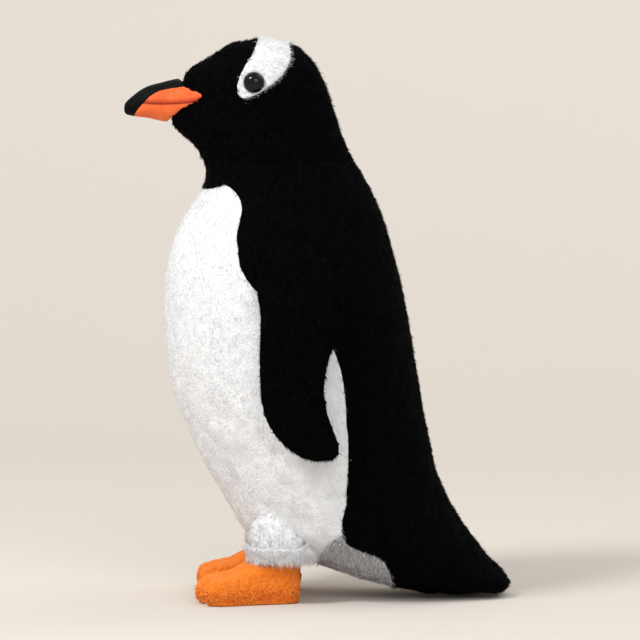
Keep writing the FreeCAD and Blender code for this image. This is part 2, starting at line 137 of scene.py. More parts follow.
def tuck(obj, node, depth):
    """Pushes the part of a piece that lies against a CAD node into it, so that no gap shows between them."""
    tree = Panels([node]).trees[0]
    places, _ = arrays(obj.data)
    for number, place in enumerate(places):
        _, normal, _, distance = tree.find_nearest(Vector(place))
        if distance < TUCK_REACH:
            places[number] -= np.array(normal) * depth
    set_places(obj.data, places)


def keep_largest(mesh):
    """Removes every loose island but the one with most vertices."""
    whole = bmesh.new()
    whole.from_mesh(mesh)
    whole.verts.ensure_lookup_table()
    seen = [False] * len(whole.verts)
    islands = []
    for start in whole.verts:
        if seen[start.index]:
            continue
        seen[start.index] = True
        island, todo = [], [start]
        while todo:
            vertex = todo.pop()
            island.append(vertex)
            for edge in vertex.link_edges:
                other = edge.other_vert(vertex)
                if not seen[other.index]:
                    seen[other.index] = True
                    todo.append(other)
        islands.append(island)
    islands.sort(key=len)
    for island in islands[:-1]:
        bmesh.ops.delete(whole, geom=island, context="VERTS")
    whole.to_mesh(mesh)
    whole.free()


def smooth_places(mesh, rounds=2):
    """Laplacian smoothing of a whole mesh, half way to the neighbours' middle each round."""
    places, _ = arrays(mesh)
    edges = np.empty(len(mesh.edges) * 2, np.int32)
    mesh.edges.foreach_get("vertices", edges)
    edges = edges.reshape(-1, 2)
    count = np.bincount(edges.ravel(), minlength=len(places)).astype(float)[:, None]
    for _ in range(rounds):
        total = np.zeros_like(places)
        np.add.at(total, edges[:, 0], places[edges[:, 1]])
        np.add.at(total, edges[:, 1], places[edges[:, 0]])
        places += (total / np.maximum(count, 1) - places) * 0.5
    set_places(mesh, places)


class Panels:
    """Finds which CAD panel of a pocket a point on its skin belongs to."""

    def __init__(self, nodes):
        self.nodes = nodes
        self.trees = []
        for node in nodes:
            places, corners = arrays(NODES[node].data)
            self.trees.append(BVHTree.FromPolygons(places.tolist(), corners.tolist()))

    def distances(self, point):
        return [tree.find_nearest(Vector(point))[3] for tree in self.trees]

    def nearest(self, points, normals, reach):
        """Each point's panel number, looked up reach outside it, and how much further the next one is."""
        labels = np.zeros(len(points), np.int32)
        margins = np.zeros(len(points))
        for number, point in enumerate(points + normals * reach):
            found = self.distances(point)
            order = sorted(range(len(found)), key=found.__getitem__)
            labels[number] = order[0]
            margins[number] = found[order[1]] - found[order[0]] if len(order) > 1 else 1.0
        return labels, margins


def inflate(obj, pinned, cap):
    """Blows the skin up as cloth. Pinned points (seams) stay, and the others move little more than cap."""
    rest, _ = arrays(obj.data)
    group = obj.vertex_groups.new(name="seams")
    for index in np.nonzero(pinned > 0.01)[0]:
        group.add([int(index)], float(pinned[index]), "REPLACE")
    cloth = obj.modifiers.new("cloth", "CLOTH")
    cloth.settings.quality = 5
    cloth.settings.mass = 0.15
    cloth.settings.tension_stiffness = 12
    cloth.settings.compression_stiffness = 12
    cloth.settings.bending_stiffness = 0.4
    cloth.settings.use_pressure = True
    cloth.settings.uniform_pressure_force = CLOTH_PRESSURE
    cloth.settings.vertex_group_mass = "seams"
    cloth.settings.effector_weights.gravity = 0
    cloth.point_cache.frame_start = 1
    cloth.point_cache.frame_end = CLOTH_FRAMES
    scene = bpy.context.scene
    scene.frame_start, scene.frame_end = 1, CLOTH_FRAMES
    for number in range(1, CLOTH_FRAMES + 1):
        scene.frame_set(number)
    apply_modifiers(obj)
    scene.frame_set(1)
    places, _ = arrays(obj.data)
    move = places - rest
    length = np.linalg.norm(move, axis=1, keepdims=True)
    set_places(obj.data, rest + move * cap / (cap + length) * 1.25)


def split_skin(obj, panels, reach, names, wall, first):
    """Cuts the skin along the CAD seams into one closed thin piece for each panel. Faces that pass the test
    called first, if there is one, go to the first panel."""
    whole = bmesh.new()
    whole.from_mesh(obj.data)
    whole.normal_update()
    whole.faces.ensure_lookup_table()
    centres = np.array([face.calc_center_median()[:] for face in whole.faces])
    normals = np.array([face.normal[:] for face in whole.faces])
    labels, _ = panels.nearest(centres, normals, reach)
    if first:
        labels[first(centres, normals)] = 0
    for _ in range(2):
        fresh = labels.copy()
        for face in whole.faces:
            around = []
            for edge in face.edges:
                other = edge.link_faces[0] if edge.link_faces[0] is not face else edge.link_faces[-1]
                around.append(labels[other.index])
            common = max(set(around), key=around.count)
            if around.count(common) >= 3:
                fresh[face.index] = common
        labels = fresh
    rim = {}
    for edge in whole.edges:
        faces = edge.link_faces
        if len(faces) == 2 and labels[faces[0].index] != labels[faces[1].index]:
            for vertex in edge.verts:
                rim.setdefault(vertex, []).append(edge.other_vert(vertex))
    for _ in range(SEAM_ROUNDS):
        moved = {
            vertex: sum((other.co for other in others), Vector()) / 2
            for vertex, others in rim.items() if len(others) == 2
        }
        for vertex, place in moved.items():
            vertex.co = vertex.co.lerp(place, 0.5)
    whole.to_mesh(obj.data)
    whole.free()
    pieces = {}
    for number, node in enumerate(panels.nodes):
        part = bmesh.new()
        part.from_mesh(obj.data)
        part.faces.ensure_lookup_table()
        others = [part.faces[int(index)] for index in np.nonzero(labels != number)[0]]
        bmesh.ops.delete(part, geom=others, context="FACES")
        mesh = bpy.data.meshes.new(names[node])
        part.to_mesh(mesh)
        part.free()
        piece = new_object(names[node], mesh)
        solid = piece.modifiers.new("wall", "SOLIDIFY")
        solid.thickness = wall
        solid.offset = -1
        apply_modifiers(piece)
        shade_smooth(piece)
        pieces[node] = piece
    bpy.data.objects.remove(obj)
    return pieces


def pocket(name, nodes, fillings, names, voxel, depth, cap, seam_width, wall, dents, ease=None, first=None):
    """The padded skin of one stuffed pocket, as a dictionary of pieces by CAD panel.

    The skin starts at depth inside the CAD surface. Where ease is under 1 it keeps nearer to that surface and
    swells less. Each dent is a scale, an amount, a seed and the height that it fades out above.
    """
    obj = outer_form(name, [*nodes, *fillings], voxel)
    smooth_places(obj.data)
    places, _ = arrays(obj.data)
    normals = vertex_normals(obj.data)
    panels = Panels(nodes)
    _, margins = panels.nearest(places, normals, 0.0)
    pinned = np.clip(1 - margins / seam_width, 0, 1) ** 1.5
    inward = ease(places) if ease else np.ones(len(places))
    pinned = np.maximum(pinned, 1 - inward)
    places = places - normals * (depth * inward)[:, None]
    set_places(obj.data, places)
    inflate(obj, pinned, cap)
    for scale, amount, seed, top in dents:
        places, _ = arrays(obj.data)
        push = waves(places, scale, seed) * amount * (1 - pinned)
        push *= np.clip((top - places[:, 2]) / (0.3 * top) + 1, 0, 1)
        set_places(obj.data, places + vertex_normals(obj.data) * push[:, None])
    subdivide = obj.modifiers.new("subdivide", "SUBSURF")
    subdivide.levels = subdivide.render_levels = 1
    apply_modifiers(obj)
    return split_skin(obj, panels, depth, names, wall, first)


# ---------------------------------------------------------------- materials


class Nodes:
    """A short way to write a material's node tree."""

    def __init__(self, name):
        self.material = bpy.data.materials.new(name)
        self.material.use_nodes = True
        self.tree = self.material.node_tree
        self.shader = self.tree.nodes["Principled BSDF"]
        self.place = self.tree.nodes.new("ShaderNodeTexCoord").outputs["Object"]

    def node(self, kind, **values):
        node = self.tree.nodes.new(kind)
        for key, value in values.items():
            setattr(node, key, value)
        return node

    def link(self, source, target):
        self.tree.links.new(source, target)

    def noise(self, scale, detail=4.0):
        node = self.node("ShaderNodeTexNoise")
        node.inputs["Scale"].default_value = scale
        node.inputs["Detail"].default_value = detail
        node.inputs["Roughness"].default_value = 0.6
        self.link(self.place, node.inputs["Vector"])
        return node.outputs["Fac"]

    def cells(self, scale, feature="F1"):
        node = self.node("ShaderNodeTexVoronoi", feature=feature)
        node.inputs["Scale"].default_value = scale
        self.link(self.place, node.inputs["Vector"])
        return node.outputs["Distance"]

    def ramp(self, value, *stops):
        node = self.node("ShaderNodeValToRGB")
        elements = node.color_ramp.elements
        while len(elements) < len(stops):
            elements.new(0.5)
        for element, (position, colour) in zip(elements, stops):
            element.position = position
            element.color = (*colour, 1.0)
        self.link(value, node.inputs["Fac"])
        return node.outputs["Color"]

    def grey(self, value, low, high):
        """Maps a value from 0..1 to low..high."""
        node = self.node("ShaderNodeMapRange")
        node.inputs["To Min"].default_value = low
        node.inputs["To Max"].default_value = high
        self.link(value, node.inputs["Value"])
        return node.outputs["Result"]

    def grey_between(self, value, low, high):
        """Maps a value from low..high to 0..1, and no further."""
        node = self.node("ShaderNodeMapRange")
        node.inputs["From Min"].default_value = low
        node.inputs["From Max"].default_value = high
        self.link(value, node.inputs["Value"])
        return node.outputs["Result"]

    def maths(self, operation, a, b=None):
        node = self.node("ShaderNodeMath", operation=operation)
        for socket, value in zip(node.inputs, (a, b)):
            if isinstance(value, (int, float)):
                socket.default_value = value
            elif value is not None:
                self.link(value, socket)
        return node.outputs["Value"]

    def mix(self, factor, a, b, blend="MIX"):
        node = self.node("ShaderNodeMix", data_type="RGBA", blend_type=blend)
        if isinstance(factor, (int, float)):
            node.inputs["Factor"].default_value = factor
        else:
            self.link(factor, node.inputs["Factor"])
        for socket, value in ((node.inputs[6], a), (node.inputs[7], b)):
            if isinstance(value, tuple):
                socket.default_value = (*value, 1.0)
            else:
                self.link(value, socket)
        return node.outputs[2]

    def bump(self, height, distance, strength=1.0):
        node = self.node("ShaderNodeBump")
        node.inputs["Strength"].default_value = strength
        node.inputs["Distance"].default_value = distance
        self.link(height, node.inputs["Height"])
        self.link(node.outputs["Normal"], self.shader.inputs["Normal"])

    def set(self, **values):
        for name, value in values.items():
            self.shader.inputs[name.replace("_", " ")].default_value = value


def plush_base(name, dark, light, sheen, tint, gloss=0.2):
    """The backing seen between the hairs: mottled, soft and matte."""
    m = Nodes(name)
    mottle = m.noise(160, 5)
    tuft = m.cells(900)
    m.link(m.ramp(mottle, (0.3, dark), (0.7, light)), m.shader.inputs["Base Color"])
    m.link(m.grey(tuft, 0.85, 1.0), m.shader.inputs["Roughness"])
    m.bump(m.maths("ADD", m.noise(1400, 3), m.maths("MULTIPLY", tuft, 0.8)), 0.5 * MM, 0.9)
    m.set(Sheen_Weight=sheen, Sheen_Roughness=0.5, Sheen_Tint=(*tint, 1.0), Specular_IOR_Level=gloss)
    return m.material


def pile(name, colour, sheen, tint, gloss=0.3, rough=0.7):
    """One shade of hair. The shine changes from tuft to tuft."""
    m = Nodes(name)
    m.set(Base_Color=(*colour, 1.0), Roughness=rough, Sheen_Weight=sheen, Sheen_Roughness=0.4)
    m.set(Sheen_Tint=(*tint, 1.0))
    m.link(m.grey(m.noise(300, 2), gloss * 0.4, gloss * 1.6), m.shader.inputs["Specular IOR Level"])
    return m.material


def shades(name, colours, **look):
    return [pile(f"{name}_{number}", colour, **look) for number, colour in enumerate(colours)]


# The mouth's groove, seen from the side, is close to the parabola z = low z + bend (y - low y) squared.
MOUTH_LOW_Y, MOUTH_LOW_Z, MOUTH_BEND = -90 * MM, 281.2 * MM, 5.23
GROOVE_SHADE = 3.2 * MM
GROOVE_SHADE_UNDER = 0.3 * GROOVE_SHADE
RIB_SCALE = 290
PALE_CORNER_START, PALE_CORNER_FULL = -65.9 * MM, -63.7 * MM  # the orange pales at the back of the mouth

WHITE_TINT, BLACK_TINT = (1.0, 0.99, 0.97), (0.6, 0.62, 0.7)
white_base = plush_base("white_backing", (0.70, 0.71, 0.73), (0.86, 0.865, 0.875), 0.1, WHITE_TINT)
# Painted shade: the seat panel is white plush under the toy, given a grey backing for the shade there.
seat_shade_base = plush_base("shaded_backing", (0.16, 0.16, 0.18), (0.40, 0.40, 0.43), 0.1, WHITE_TINT)
black_base = plush_base(
    "black_backing", (0.0006, 0.0006, 0.0007), (0.0016, 0.0016, 0.0018), 0.0, BLACK_TINT, 0.03,
)
WHITE_PILE = shades(
    "white_pile", [(0.86, 0.87, 0.88), (0.90, 0.905, 0.915), (0.94, 0.94, 0.945), (0.72, 0.735, 0.76)],
    sheen=0.15, tint=WHITE_TINT,
)
SEAT_SHADE_PILE = shades(
    "shaded_pile", [(0.50, 0.50, 0.54), (0.66, 0.66, 0.69), (0.78, 0.78, 0.80), (0.20, 0.20, 0.22)],
    sheen=0.1, tint=WHITE_TINT,
)
# Greyed white pile: painted shade, for the seat's upper part and for the legs.
HALF_SHADE_PILE = shades(
    "half_shaded_pile", [(0.78, 0.78, 0.80), (0.86, 0.86, 0.88), (0.68, 0.68, 0.71), (0.50, 0.50, 0.53)],
    sheen=0.1, tint=WHITE_TINT,
)
BLACK_PILE = shades(
    "black_pile",
    [(0.0008, 0.0008, 0.0009), (0.0014, 0.0014, 0.0016), (0.0005, 0.0005, 0.0006), (0.0110, 0.0110, 0.0118)],
    sheen=0.0, tint=BLACK_TINT, gloss=0.022, rough=0.8,
)
ORANGE_TINT = (1.0, 0.55, 0.2)
LOOP_YARN = shades(
    "fleece_loop", [(1.0, 0.26, 0.02), (0.74, 0.14, 0.01), (1.0, 0.44, 0.10), (0.42, 0.075, 0.006)],
    sheen=0.25, tint=ORANGE_TINT, rough=0.85,
)
NAP_YARN = shades(
    "fleece_nap", [(1.0, 0.29, 0.026), (1.0, 0.33, 0.036), (1.0, 0.39, 0.06), (1.0, 0.23, 0.018)],
    sheen=0.3, tint=ORANGE_TINT, rough=0.85,
)


def fleece():
    """Orange curly fleece: small rings, with painted shade darkening the hollows between them."""
    m = Nodes("foot_fleece_cloth")
    curl = m.cells(620, "SMOOTH_F1")
    shade = m.mix(m.noise(90, 4), (0.96, 0.21, 0.018), (1.0, 0.29, 0.032))
    # Painted shade in the hollows between the rings.
    hollow = m.ramp(curl, (0.15, (1.0, 1.0, 1.0)), (0.75, (0.80, 0.66, 0.55)))
    m.link(m.mix(1.0, shade, hollow, "MULTIPLY"), m.shader.inputs["Base Color"])
    m.link(m.grey(m.noise(400, 3), 0.8, 1.0), m.shader.inputs["Roughness"])
    m.bump(m.maths("SUBTRACT", m.noise(1100, 3), curl), 0.8 * MM)
    m.set(Sheen_Weight=0.3, Sheen_Roughness=0.5, Sheen_Tint=(*ORANGE_TINT, 1.0), Specular_IOR_Level=0.2)
    return m.material


def beak_orange_cloth(name, ribbed):
    """Short orange minky. Above the mouth it has fine upright ribs, coloured with painted highlight on their
    ridges and painted shade between them, and painted shade darkens it towards the mouth's groove.
    """
    m = Nodes(name)
    ribs = m.node("ShaderNodeTexWave", wave_type="BANDS", bands_direction="Y")
    ribs.inputs["Scale"].default_value = RIB_SCALE
    ribs.inputs["Distortion"].default_value = 5.0
    ribs.inputs["Detail"].default_value = 3.0
    ribs.inputs["Detail Scale"].default_value = 2.5
    m.link(m.place, ribs.inputs["Vector"])
    split = m.node("ShaderNodeSeparateXYZ")
    m.link(m.place, split.inputs["Vector"])
    along = m.maths("ADD", split.outputs["Y"], -MOUTH_LOW_Y)
    groove = m.maths("ADD", m.maths("MULTIPLY", m.maths("MULTIPLY", along, along), MOUTH_BEND), MOUTH_LOW_Z)
    gap = m.maths("ABSOLUTE", m.maths("SUBTRACT", split.outputs["Z"], groove))
    depth = m.grey_between(gap, 0.0, GROOVE_SHADE if ribbed else GROOVE_SHADE_UNDER)
    tone = m.ramp(m.noise(120, 4), (0.3, (0.80, 0.125, 0.03)), (0.7, (0.97, 0.185, 0.045)))
    # The ribs' pale and dark bands are painted highlight on their ridges and painted shade between them.
    rib_low = (0.74, 0.52, 0.44) if ribbed else (0.92, 0.86, 0.84)
    lit = m.ramp(ribs.outputs["Fac"], (0.15, rib_low), (0.75, (1.0, 1.0, 1.0)))
    # Painted shade, darkest in the mouth's groove.
    dim = m.ramp(depth, (0.0, (0.22, 0.10, 0.08)), (0.22, (0.55, 0.33, 0.28)), (1.0, (1.0, 1.0, 1.0)))
    orange = m.mix(1.0, m.mix(1.0, tone, lit, "MULTIPLY"), dim, "MULTIPLY")
    corner = m.grey_between(split.outputs["Y"], PALE_CORNER_START, PALE_CORNER_FULL)
    m.link(m.mix(m.maths("MULTIPLY", corner, 0.7), orange, (0.92, 0.62, 0.52)), m.shader.inputs["Base Color"])
    m.link(m.grey(m.noise(600, 3), 0.55, 0.8), m.shader.inputs["Roughness"])
    m.bump(m.maths("ADD", m.maths("MULTIPLY", ribs.outputs["Fac"], 0.6), m.noise(1500, 3)), 0.2 * MM)
    m.set(Sheen_Weight=0.2, Sheen_Roughness=0.4, Sheen_Tint=(*ORANGE_TINT, 1.0), Specular_IOR_Level=0.25)
    return m.material


def beak_black_cloth():
    m = Nodes("beak_black_cloth")
    nap = m.noise(1300, 3)
    m.link(m.ramp(m.noise(140, 4), (0.3, (0.0008, 0.001, 0.0012)), (0.7, (0.0022, 0.0026, 0.003))),
           m.shader.inputs["Base Color"])
    m.link(m.grey(nap, 0.45, 0.7), m.shader.inputs["Roughness"])
    m.bump(nap, 0.2 * MM)
    m.set(Sheen_Weight=0.0, Specular_IOR_Level=0.07)
    return m.material


def eye_plastic():
    """Polished black plastic with the faintest orange-peel."""
    m = Nodes("eye_plastic")
    m.link(m.ramp(m.noise(60, 2), (0.3, (0.0015, 0.0015, 0.002)), (0.7, (0.003, 0.0027, 0.0025))),
           m.shader.inputs["Base Color"])
    m.link(m.grey(m.noise(250, 2), 0.015, 0.04), m.shader.inputs["Roughness"])
    m.set(Specular_IOR_Level=0.24)
    return m.material


def moulded_plastic():
    m = Nodes("washer_plastic_moulded")
    m.link(m.ramp(m.noise(200, 3), (0.3, (0.78, 0.78, 0.75)), (0.7, (0.86, 0.86, 0.84))),
           m.shader.inputs["Base Color"])
    m.link(m.grey(m.noise(500, 3), 0.45, 0.6), m.shader.inputs["Roughness"])
    m.bump(m.noise(900, 2), 0.05 * MM)
    return m.material


fleece_cloth = fleece()
beak_orange = beak_orange_cloth("beak_orange_ribbed", True)
beak_under = beak_orange_cloth("beak_orange_plain", False)
beak_black = beak_black_cloth()
plastic = moulded_plastic()
eye_gloss = eye_plastic()


# ---------------------------------------------------------------- pile


SPARE_ROOTS = 2.1  # roots drawn for each hair wanted, since about half fall on the skin's lining
ROOT_DEPTH = 0.4 * MM
PROBE_START, PROBE_LENGTH = 0.15 * MM, 3.0 * MM  # an outer root has the skin's lining this close beneath it
FLOOR_GAP = 0.2 * MM  # no hair reaches lower
SEAT_EDGE_Z, SEAT_EDGE_SLOPE = 26 * MM, -0.42  # the seat's hair has less painted shade above this sloping line


def surface_samples(mesh, count, random):
    """Random points on a mesh, spread by area, with their normals."""
    places, corners = arrays(mesh)
    normals = vertex_normals(mesh)
    a, b, c = (places[corners[:, k]] for k in range(3))
    area = np.linalg.norm(np.cross(b - a, c - a), axis=1)
    chosen = random.choice(len(corners), size=count, p=area / area.sum())
    u, v = np.sqrt(random.random(count)), random.random(count)
    weights = np.stack([1 - u, u * (1 - v), u * v], axis=1)
    points = sum(places[corners[chosen, k]] * weights[:, k : k + 1] for k in range(3))
    facing = sum(normals[corners[chosen, k]] * weights[:, k : k + 1] for k in range(3))
    return points, facing / np.linalg.norm(facing, axis=1, keepdims=True)


def unit(vectors):
    return vectors / np.maximum(np.linalg.norm(vectors, axis=1, keepdims=True), 1e-9)


def hair_mesh(name, roots, first, second, length, width, random, shade_count):
    """Curved tapering hairs, each a closed three-sided spike with one bend."""
    count = len(roots)
    side = unit(np.cross(first, random.normal(size=(count, 3))))
    up = np.cross(first, side)
    bend = roots + first * length[:, None] * 0.5
    tips = bend + second * length[:, None] * 0.5
    angles = np.arange(3) * 2 * math.pi / 3
    ring = [side * math.cos(t) + up * math.sin(t) for t in angles]
    radius = width[:, None] / 2
    places = np.empty((count, 7, 3))
    for k in range(3):
        places[:, k] = roots + ring[k] * radius
        places[:, 3 + k] = bend + ring[k] * radius * 0.75
    places[:, 6] = tips
    pattern = [(0, 2, 1)]
    for k in range(3):
        n = (k + 1) % 3
        pattern += [(k, n, 3 + n), (k, 3 + n, 3 + k), (3 + k, 3 + n, 6)]
    pattern = np.array(pattern, np.int32)
    faces = (np.arange(count, dtype=np.int32)[:, None, None] * 7 + pattern[None]).reshape(-1, 3)
    mesh = bpy.data.meshes.new(name)
    mesh.vertices.add(count * 7)
    mesh.vertices.foreach_set("co", places.ravel())
    mesh.loops.add(faces.size)
    mesh.loops.foreach_set("vertex_index", faces.ravel())
    mesh.polygons.add(len(faces))
    mesh.polygons.foreach_set("loop_start", np.arange(len(faces), dtype=np.int32) * 3)
    shades_of = random.choice(shade_count, size=count, p=shade_shares(shade_count))
    mesh.polygons.foreach_set("material_index", np.repeat(shades_of, len(pattern)).astype(np.int32))
    mesh.polygons.foreach_set("use_smooth", np.ones(len(faces), bool))
    mesh.update(calc_edges=True)
    return mesh


def shade_shares(count):
    """Most hairs take the first shades; the last one is rare."""
    shares = np.array([0.34, 0.34, 0.22, 0.10][:count])
    return shares / shares.sum()


def comb(points):
    """Which way the pile is stroked: back over the head, down the trunk, and out along the tail."""
    head = np.clip((points[:, 2] - HEAD_START) / HEAD_BLEND, 0, 1)[:, None]
    tail = np.clip((points[:, 1] - TAIL_START) / TAIL_BLEND, 0, 1)[:, None]
    way = np.array([0.0, 0.10, -1.0]) * (1 - head) + np.array([0.0, 0.85, -0.55]) * head
    return way * (1 - tail) + np.array([0.0, 0.95, -0.5]) * tail


def grow(name, skin, count, length, width, lift, palette, seed, stray=0.35, clump=0.35, where=None,
         hollow=True):
    """Grows a pile of hairs on a skin piece.

    lift is how upright the hairs stand, stray how much each one turns its own way, and clump how much they
    turn together. A hollow skin also has a lining, where no hair grows.
    """
    random = np.random.default_rng(seed)
    roots, facing = surface_samples(skin.data, int(count * SPARE_ROOTS), random)
    outside = outward(skin, roots, facing) if hollow else np.ones(len(roots), bool)
    if where is not None:
        outside &= where(roots)
    roots, facing = roots[outside][:count], facing[outside][:count]
    stroke = comb(roots)
    swirl = np.stack([waves(roots, 14 * MM, seed + k, 2) for k in range(3)], axis=1)
    stroke = stroke + swirl * clump + random.normal(size=roots.shape) * stray
    stroke = unit(stroke - facing * np.sum(stroke * facing, axis=1, keepdims=True))
    rise = np.clip(lift + random.normal(size=len(roots)) * 0.12, 0.1, 0.95)[:, None]
    first = unit(facing * rise + stroke * (1 - rise))
    second = unit(facing * rise * 0.35 + stroke * (1 - rise * 0.35) + random.normal(size=roots.shape) * 0.16)
    lengths = length * random.uniform(0.7, 1.15, len(roots))
    droop = np.minimum(first[:, 2], (first + second)[:, 2] * 0.5) * lengths
    room = roots[:, 2] - ROOT_DEPTH - FLOOR_GAP
    lengths = np.where(droop < -room, lengths * np.clip(room / np.maximum(-droop, 1e-6), 0.15, 1), lengths)
    widths = width * random.uniform(0.7, 1.25, len(roots))
    mesh = hair_mesh(name, roots - facing * ROOT_DEPTH, first, second, lengths, widths, random, len(palette))
    obj = new_object(name, mesh)
    for material in palette:
        mesh.materials.append(material)
    return obj


def away(node, distance):
    """Keeps the roots that are further than distance from a CAD node."""
    tree = Panels([node])
    return lambda points: np.array([tree.distances(point)[0] > distance for point in points])


def seat_less_shaded(points):
    """The upper part of the seat panel, with a ragged edge, where the painted shade is lighter."""
    edge = SEAT_EDGE_Z + SEAT_EDGE_SLOPE * points[:, 1]
    return points[:, 2] + waves(points, 7 * MM, 77) * 3 * MM > edge


def near(left, right, distance):
    """Keeps the roots that are nearer than distance to one of two CAD nodes."""
    trees = Panels([left, right])
    return lambda points: np.array([min(trees.distances(point)) < distance for point in points])


def outward(skin, roots, facing):
    """True where a root is on the outer side of a closed thin skin, not on its lining or rim."""
    places, corners = arrays(skin.data)
    tree = BVHTree.FromPolygons(places.tolist(), corners.tolist())
    keep = np.zeros(len(roots), bool)
    for number, (root, normal) in enumerate(zip(roots, facing)):
        start = Vector(root - normal * PROBE_START)
        hit = tree.ray_cast(start, Vector(-normal), PROBE_LENGTH)
        keep[number] = hit[0] is not None
    return keep


# ---------------------------------------------------------------- places taken from the frame

NECK_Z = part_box("head_panel_left")[0].z
BODY_BACK_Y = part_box("body_filling")[1].y
HEAD_START, HEAD_BLEND = NECK_Z - 5 * MM, 25 * MM
TAIL_START, TAIL_BLEND = BODY_BACK_Y - 45 * MM, 30 * MM
TAIL_TIP_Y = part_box("back_panel_left")[1].y
TALL = 1.0  # a height above the whole toy
LEG_INSET, LEG_SINK, LEG_SINK_HEIGHT = 0.7 * MM, 6.0 * MM, 20 * MM
CUFF_INSET, CUFF_TOP_INSET, CUFF_TOP_BLEND = 1.5 * MM, 1.6 * MM, 5 * MM
CUFF_TOP_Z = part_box("ankle_cuff_left")[1].z
CUFF_FRINGE_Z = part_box("ankle_cuff_left")[0].z + 4.5 * MM


def tail_ease(places):
    """The thin tail tip keeps its length."""
    return 1 - 0.6 * np.clip((places[:, 1] - TAIL_TIP_Y + 16 * MM) / (14 * MM), 0, 1)


def cover_faces(side):
    """The flipper's cover wraps round its edge and over its top. The lower faces that look at the body may be
    lining."""
    out = 1 if side == "left" else -1
    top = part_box(f"flipper_cover_{side}")[1].z - 5 * MM
    return lambda centres, normals: (normals[:, 0] * out > -0.5) | (centres[:, 2] > top)


def floor_ease(places):
    """The foot stays flat on the floor."""
    return np.where(places[:, 2] < 0.8 * MM, 0.2, 1.0)


# ---------------------------------------------------------------- skins

BODY_NODES = [
    "brow_band", "belly_panel", "seat_panel", "head_panel_left", "head_panel_right", "back_panel_left",
    "back_panel_right",
]
BEAK_NODES = ["beak_top", "beak_lower", "beak_side_left", "beak_side_right"]


def dress(pieces, body, materials, extra=()):
    """Gives each skin piece its body and material, and hides the CAD nodes it stands for."""
    for number, (node, piece) in enumerate(pieces.items()):
        piece.data.materials.clear()
        piece.data.materials.append(materials[node])
        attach(piece, body)
        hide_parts(node, *(extra if number == 0 else ()))


def dressed_pocket(name, body, nodes, fillings, materials, fill=0.85, **look):
    names = {node: f"{node}_skin" for node in nodes}
    pieces = pocket(name, nodes, fillings, names, **look)
    dress(pieces, body, materials, fillings)
    return pieces


body_materials = {
    "brow_band": white_base, "belly_panel": white_base, "seat_panel": seat_shade_base,
    "head_panel_left": black_base, "head_panel_right": black_base,
    "back_panel_left": black_base, "back_panel_right": black_base,
}
body_skins = dressed_pocket(
    "body_pocket", "body", BODY_NODES, ["body_filling"], body_materials,
    voxel=2.6 * MM, depth=1.7 * MM, cap=1.1 * MM, seam_width=5 * MM, wall=1.2 * MM,
    dents=((60 * MM, 0.7 * MM, 3, TALL), (22 * MM, 0.3 * MM, 4, TALL), (17 * MM, 0.6 * MM, 5, 110 * MM)),
    ease=tail_ease,
)
dressed_pocket(
    "beak_pocket", "body", BEAK_NODES, ["beak_filling"],
    {
        "beak_top": beak_black, "beak_lower": beak_under, "beak_side_left": beak_orange,
        "beak_side_right": beak_orange,
    },
    voxel=0.8 * MM, depth=-0.25 * MM, cap=0.5 * MM, seam_width=1.6 * MM, wall=0.6 * MM,
    dents=((9 * MM, 0.12 * MM, 8, TALL),),
)


def foot(side):
    nodes = [f"foot_upper_{side}", f"foot_sole_{side}"]
    return dressed_pocket(
        f"foot_pocket_{side}", "body", nodes, [f"foot_filling_{side}"],
        {node: fleece_cloth for node in nodes},
        voxel=1.3 * MM, depth=1.0 * MM, cap=0.8 * MM, seam_width=2.5 * MM, wall=0.9 * MM,
        dents=((12 * MM, 0.35 * MM, 12, TALL), (5 * MM, 0.15 * MM, 13, TALL)), ease=floor_ease,
    )


def white_skin(node, fillings, voxel, neighbours, shape):
    """A white plush piece with no cut seams. It is tucked into each neighbour by a depth, and then shaped."""
    skin = outer_form(f"{node}_skin", [node, *fillings], voxel)
    for neighbour, depth in neighbours:
        tuck(skin, neighbour, depth)
    smooth_places(skin.data)
    places, _ = arrays(skin.data)
    set_places(skin.data, shape(places, skin.data))
    shade_smooth(skin)
    dress({node: skin}, "body", {node: white_base}, fillings)
    return skin


def leg(side):
    """Drawn in towards its own axis, and more so higher up, so that its top sinks into the belly's skin."""
    low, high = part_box(f"leg_cover_{side}")
    axis = np.array(((low + high) / 2)[:2])

    def shape(places, _):
        inset = LEG_INSET + np.clip((places[:, 2] - CUFF_TOP_Z) / LEG_SINK_HEIGHT, 0, 1) * LEG_SINK
        from_axis = places[:, :2] - axis
        places[:, :2] -= from_axis / np.linalg.norm(from_axis, axis=1, keepdims=True) * inset[:, None]
        return places

    neighbours = [("belly_panel", 6 * MM), (f"ankle_cuff_{side}", 4 * MM)]
    return white_skin(f"leg_cover_{side}", [f"leg_filling_{side}"], 1.8 * MM, neighbours, shape)


def cuff(side):
    """A soft uneven ring, set in to leave room for its pile, and most at its top."""

    def shape(places, mesh):
        soft = waves(places, 11 * MM, 21) * 0.5 * MM - CUFF_INSET
        soft -= np.clip((places[:, 2] - CUFF_TOP_Z + CUFF_TOP_BLEND) / CUFF_TOP_BLEND, 0, 1) * CUFF_TOP_INSET
        return places + vertex_normals(mesh) * soft[:, None]

    return white_skin(f"ankle_cuff_{side}", [], 1.3 * MM, [("belly_panel", 6 * MM)], shape)


def flipper(side):
    cover, lining = f"flipper_cover_{side}", f"flipper_lining_{side}"
    return dressed_pocket(
        f"flipper_pocket_{side}", f"flipper_{side}", [cover, lining], [f"flipper_filling_{side}"],
        {cover: black_base, lining: white_base},
        voxel=1.8 * MM, depth=1.9 * MM, cap=0.9 * MM, seam_width=3 * MM, wall=0.8 * MM,
        dents=((25 * MM, 0.35 * MM, 31, TALL),), first=cover_faces(side),
    )


foot_skins, leg_skins, cuff_skins, flipper_skins = {}, {}, {}, {}
for side in SIDES:
    foot_skins[side] = foot(side)
    leg_skins[side] = leg(side)
    cuff_skins[side] = cuff(side)
    flipper_skins[side] = flipper(side)

